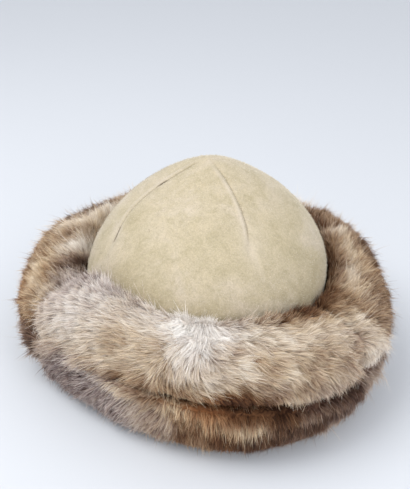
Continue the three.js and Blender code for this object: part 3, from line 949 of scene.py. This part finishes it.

# The right pelt starts at a dark diagonal join by the crown and runs round to the back, cream with brown
# patches and a nearly black rim.
# The dark along the crown's edge is partly the fur's own colour and partly painted shadow in the groove
# between the fur and the crown.
RIGHT_SPOTS = [
    (72, 60, 100, 62, 10, 0.00, 0.03, 0.20, 0.64, 0.5),
    (85, 55, 120, 62, 10, 0.00, 0.05, 0.28, 0.62, 0.5),
    (104, 54, 60, 60, 10, 0.00, 0.06, 0.25, 0.45, 0.5),
    (98, 56, 90, 60, 9, 0.00, 0.05, 0.24, 0.60, 0.5),
    (108, 57, 85, 60, 9, 0.00, 0.04, 0.20, 0.60, 0.5),
    (117, 60, 85, 60, 9, 0.00, 0.02, 0.16, 0.58, 0.5),
    (129, 61, 70, 58, 10, 0.00, 0.04, 0.20, 0.50, 0.5),
    (122, 54, 70, 60, 10, 0.00, 0.10, 0.35, 0.45, 0.45),
    (140, 56, 40, 60, 12, 0.02, 0.15, 0.40, 0.45, 0.4),
    (154, 66, 20, 82, 24, 1.00, 1.00, 1.00, 0.05, 0.0),
    (153, 86, 50, 52, 14, 0.08, 0.26, 0.44, 0.48, 0.45),
    (144, 67, 40, 60, 12, 0.00, 0.12, 0.34, 0.45, 0.45),
    (74, 75, 20, 50, 12, 0.22, 0.50, 0.68, 0.46, 0.3),
    (84, 70, 45, 52, 12, 0.12, 0.40, 0.62, 0.52, 0.35),
    (92, 70, 70, 50, 13, 0.28, 0.60, 0.76, 0.46, 0.25),
    (98, 72, 80, 50, 13, 0.74, 1.00, 1.00, 0.26, 0.0),
    (106, 73, 85, 50, 12, 0.34, 0.68, 0.84, 0.36, 0.15),
    (114, 75, 85, 52, 12, 0.40, 0.74, 0.96, 0.38, 0.15),
    (123, 72, 90, 58, 14, 0.52, 0.84, 0.96, 0.26, 0.0),
    (134, 74, 60, 60, 14, 0.10, 0.34, 0.52, 0.45, 0.4),
    (140, 80, 40, 58, 14, 0.10, 0.30, 0.50, 0.45, 0.4),
    (73, 92, 40, 55, 12, 0.46, 0.80, 0.95, 0.32, 0.2),
    (83, 97, 45, 55, 12, 0.12, 0.36, 0.54, 0.50, 0.45),
    (90, 92, 60, 50, 13, 0.20, 0.50, 0.72, 0.40, 0.35),
    (98, 92, 60, 48, 14, 0.08, 0.34, 0.54, 0.46, 0.4),
    (107, 92, 60, 50, 14, 0.16, 0.42, 0.60, 0.52, 0.4),
    (118, 92, 60, 52, 14, 0.06, 0.26, 0.44, 0.50, 0.45),
    (132, 96, 50, 55, 14, 0.08, 0.26, 0.44, 0.48, 0.45),
    (147, 96, 30, 52, 14, 0.08, 0.26, 0.44, 0.48, 0.45),
    (74, 112, 30, 60, 12, 0.30, 0.64, 0.86, 0.32, 0.35),
    (86, 116, 20, 55, 12, 0.20, 0.48, 0.68, 0.42, 0.4),
    (97, 114, 20, 52, 12, 0.14, 0.36, 0.52, 0.48, 0.45),
    (110, 114, 20, 50, 12, 0.02, 0.18, 0.34, 0.50, 0.5),
    (125, 116, 10, 50, 13, 0.02, 0.18, 0.36, 0.48, 0.45),
    (145, 116, 0, 50, 13, 0.20, 0.42, 0.60, 0.48, 0.4),
    (76, 136, 20, 55, 12, 0.38, 0.70, 0.92, 0.28, 0.2),
    (86, 132, 20, 50, 12, 0.10, 0.34, 0.54, 0.42, 0.45),
    (100, 136, 10, 46, 12, 0.00, 0.16, 0.32, 0.52, 0.5),
    (120, 136, 5, 46, 12, 0.02, 0.18, 0.36, 0.50, 0.5),
    (145, 136, 0, 46, 12, 0.12, 0.34, 0.52, 0.48, 0.45),
    (77, 152, 15, 46, 13, 0.45, 0.78, 0.98, 0.18, 0.1),
    (90, 158, 10, 40, 12, 0.04, 0.22, 0.42, 0.40, 0.5),
    (108, 158, 5, 38, 12, 0.02, 0.16, 0.34, 0.48, 0.55),
    (130, 158, 5, 38, 12, 0.04, 0.20, 0.40, 0.48, 0.5),
    (150, 158, 0, 38, 12, 0.05, 0.22, 0.42, 0.48, 0.5),
    (78, 178, 10, 28, 13, 0.15, 0.38, 0.72, 0.30, 0.4),
    (100, 180, 5, 28, 12, 0.02, 0.16, 0.36, 0.45, 0.5),
    (140, 180, 5, 28, 12, 0.04, 0.18, 0.36, 0.48, 0.5),
]
length_of_fur(
    "right_pelt", RIGHT_SPOTS, locks=30000, wool=80000, lowest=38, highest=186, seed=41)

# The back pelt is the shortest, golden with dusky tips, and hidden from the front by the crown.
BACK_SPOTS = [
    (158, 66, 0, 70, 15, 0.70, 0.92, 1.00, 0.12, 0.05),
    (162, 78, -50, 50, 14, 0.12, 0.34, 0.54, 0.45, 0.4),
    (168, 56, 0, 58, 12, 0.05, 0.25, 0.55, 0.45, 0.4),
    (188, 56, 0, 58, 12, 0.10, 0.32, 0.60, 0.50, 0.4),
    (209, 56, 50, 54, 14, 0.08, 0.28, 0.55, 0.45, 0.4),
    (163, 92, -40, 50, 14, 0.20, 0.44, 0.62, 0.45, 0.4),
    (178, 80, 0, 50, 14, 0.35, 0.64, 0.80, 0.48, 0.3),
    (193, 86, 0, 50, 14, 0.30, 0.58, 0.74, 0.52, 0.35),
    (208, 82, 55, 45, 15, 0.22, 0.48, 0.66, 0.48, 0.4),
    (165, 112, 0, 48, 13, 0.24, 0.50, 0.66, 0.55, 0.4),
    (182, 110, 0, 48, 13, 0.30, 0.58, 0.74, 0.52, 0.35),
    (200, 112, -5, 48, 13, 0.26, 0.52, 0.68, 0.55, 0.4),
    (168, 136, 0, 44, 12, 0.14, 0.38, 0.54, 0.58, 0.45),
    (190, 136, 0, 44, 12, 0.16, 0.42, 0.56, 0.58, 0.45),
    (206, 136, -5, 44, 12, 0.14, 0.38, 0.54, 0.58, 0.45),
    (168, 160, 0, 36, 12, 0.06, 0.24, 0.42, 0.55, 0.5),
    (190, 160, 0, 36, 12, 0.08, 0.26, 0.44, 0.55, 0.5),
    (206, 160, -5, 36, 12, 0.06, 0.24, 0.42, 0.55, 0.5),
    (185, 182, 0, 26, 12, 0.04, 0.20, 0.38, 0.50, 0.5),
]
length_of_fur(
    "back_pelt", BACK_SPOTS, locks=18000, wool=52000, lowest=38, highest=186, seed=51)

# The left pelt is golden tan with dusky tips and an orange brown rim. Dark and whitish patches follow each
# other along the crown, and a dark band marks its join with the front pelt.
LEFT_SPOTS = [
    (-55, 54, -45, 60, 11, 0.02, 0.30, 0.75, 0.08, 0.3),
    (-67, 54, -35, 60, 11, 0.00, 0.15, 0.45, 0.30, 0.4),
    (-80, 56, -25, 58, 12, 0.62, 0.94, 1.00, 0.16, 0.05),
    (-94, 54, -20, 58, 12, 0.25, 0.56, 0.80, 0.36, 0.25),
    (-110, 54, -15, 58, 12, 0.45, 0.76, 0.95, 0.28, 0.15),
    (-132, 54, -10, 58, 12, 0.15, 0.38, 0.62, 0.40, 0.35),
    (-147, 56, -65, 50, 15, 0.12, 0.34, 0.60, 0.45, 0.35),
    (-147, 78, -65, 42, 16, 0.25, 0.50, 0.72, 0.45, 0.35),
    (-147, 102, -60, 40, 16, 0.22, 0.46, 0.66, 0.50, 0.4),
    (-56, 70, -60, 62, 12, 0.10, 0.40, 0.80, 0.10, 0.25),
    (-63, 68, -45, 60, 12, 0.15, 0.45, 0.75, 0.18, 0.3),
    (-70, 70, -35, 58, 12, 0.00, 0.22, 0.45, 0.35, 0.4),
    (-77, 70, -28, 52, 13, 0.58, 0.88, 1.00, 0.26, 0.08),
    (-85, 67, -22, 55, 13, 0.16, 0.42, 0.62, 0.42, 0.35),
    (-93, 68, -20, 52, 13, 0.62, 0.92, 1.00, 0.34, 0.05),
    (-106, 64, -18, 52, 13, 0.55, 0.86, 1.00, 0.26, 0.1),
    (-120, 70, -15, 52, 13, 0.25, 0.52, 0.74, 0.42, 0.35),
    (-140, 70, -10, 52, 13, 0.25, 0.50, 0.72, 0.45, 0.35),
    (-54, 88, -60, 50, 13, 0.32, 0.60, 0.78, 0.32, 0.2),
    (-64, 86, -45, 50, 13, 0.12, 0.38, 0.54, 0.62, 0.4),
    (-72, 88, -35, 48, 13, 0.30, 0.60, 0.76, 0.55, 0.25),
    (-82, 81, -28, 50, 13, 0.04, 0.26, 0.44, 0.55, 0.45),
    (-90, 84, -22, 50, 13, 0.48, 0.78, 0.92, 0.32, 0.2),
    (-101, 86, -20, 50, 13, 0.00, 0.06, 0.18, 0.42, 0.5),
    (-110, 86, -18, 50, 12, 0.02, 0.16, 0.34, 0.42, 0.5),
    (-120, 88, -15, 50, 13, 0.12, 0.34, 0.54, 0.42, 0.4),
    (-140, 88, -10, 48, 13, 0.28, 0.52, 0.70, 0.48, 0.4),
    (-55, 110, -45, 44, 13, 0.32, 0.60, 0.76, 0.50, 0.25),
    (-65, 108, -38, 44, 13, 0.38, 0.68, 0.82, 0.42, 0.25),
    (-80, 104, -28, 46, 13, 0.16, 0.44, 0.62, 0.50, 0.4),
    (-94, 110, -22, 46, 13, 0.14, 0.38, 0.56, 0.52, 0.45),
    (-112, 110, -15, 46, 13, 0.16, 0.40, 0.58, 0.54, 0.45),
    (-140, 110, -10, 46, 13, 0.18, 0.42, 0.60, 0.54, 0.45),
    (-54, 126, -40, 38, 13, 0.20, 0.46, 0.64, 0.54, 0.35),
    (-66, 130, -32, 38, 12, 0.10, 0.32, 0.46, 0.68, 0.45),
    (-82, 130, -25, 38, 12, 0.06, 0.26, 0.40, 0.66, 0.5),
    (-105, 134, -15, 38, 12, 0.12, 0.36, 0.52, 0.58, 0.45),
    (-136, 134, -10, 38, 12, 0.15, 0.38, 0.54, 0.55, 0.45),
    (-57, 144, -38, 34, 12, 0.03, 0.20, 0.36, 0.66, 0.45),
    (-68, 145, -32, 34, 12, 0.02, 0.18, 0.34, 0.68, 0.5),
    (-56, 162, -35, 30, 13, 0.08, 0.30, 0.54, 0.42, 0.35),
    (-75, 158, -25, 32, 12, 0.06, 0.24, 0.38, 0.60, 0.5),
    (-100, 158, -15, 32, 12, 0.05, 0.22, 0.36, 0.55, 0.5),
    (-136, 158, -10, 32, 12, 0.06, 0.24, 0.40, 0.55, 0.5),
    (-62, 182, -30, 24, 12, 0.08, 0.28, 0.50, 0.35, 0.4),
    (-100, 182, -10, 24, 12, 0.04, 0.20, 0.38, 0.50, 0.5),
]
length_of_fur(
    "left_pelt", LEFT_SPOTS, locks=33000, wool=86000, lowest=38, highest=186, seed=61)

# The hat stands on a plain pale floor in soft studio light, seen as in the photograph.
FLOOR_SIZE = 4.0
form = bmesh.new()
bmesh.ops.create_grid(form, x_segments=1, y_segments=1, size=FLOOR_SIZE)
floor_mesh = bpy.data.meshes.new("floor")
form.to_mesh(floor_mesh)
form.free()
floor = bpy.data.objects.new("floor", floor_mesh)
bpy.context.collection.objects.link(floor)
floor_material, _, floor_shader = fresh_material("floor")
floor_shader.inputs["Base Color"].default_value = (0.62, 0.65, 0.70, 1)
floor_shader.inputs["Roughness"].default_value = 0.9
floor_mesh.materials.append(floor_material)

world = bpy.data.worlds.new("studio")
world.use_nodes = True
world.node_tree.nodes["Background"].inputs["Color"].default_value = (0.97, 0.98, 1.0, 1)
world.node_tree.nodes["Background"].inputs["Strength"].default_value = 0.95
bpy.context.scene.world = world
bpy.context.scene.view_settings.view_transform = "Standard"

HAT_MIDDLE = Vector((0, 0, 0.06))
LIGHT_SIZE = 0.9


def soft_light(name, place, power, colour):
    """A round soft light turned towards the middle of the hat."""
    lamp = bpy.data.lights.new(name, "AREA")
    lamp.shape = "DISK"
    lamp.size = LIGHT_SIZE
    lamp.energy = power
    lamp.color = colour
    made = bpy.data.objects.new(name, lamp)
    made.location = place
    made.rotation_euler = (HAT_MIDDLE - Vector(place)).to_track_quat("-Z", "Y").to_euler()
    bpy.context.collection.objects.link(made)


soft_light("key", (-0.55, -0.45, 1.15), 9, (1.0, 0.98, 0.95))
soft_light("fill", (0.9, -0.9, 0.7), 7, (1.0, 0.98, 0.96))

CAMERA_PLACE = (0.1639, -0.5023, 0.3600)
CAMERA_AHEAD = Vector((-0.2808, 0.8441, -0.4567)).normalized()
CAMERA_RIGHT = Vector((0.9454, 0.3254, 0.0200))
camera_data = bpy.data.cameras.new("camera")
camera_data.lens = 56.25
camera_data.sensor_width = 36
camera = bpy.data.objects.new("camera", camera_data)
right = (CAMERA_RIGHT - CAMERA_AHEAD * CAMERA_RIGHT.dot(CAMERA_AHEAD)).normalized()
up = right.cross(CAMERA_AHEAD)
camera_turn = Matrix((right, up, -CAMERA_AHEAD)).transposed().to_4x4()
camera.matrix_world = Matrix.Translation(CAMERA_PLACE) @ camera_turn
bpy.context.collection.objects.link(camera)
bpy.context.scene.camera = camera
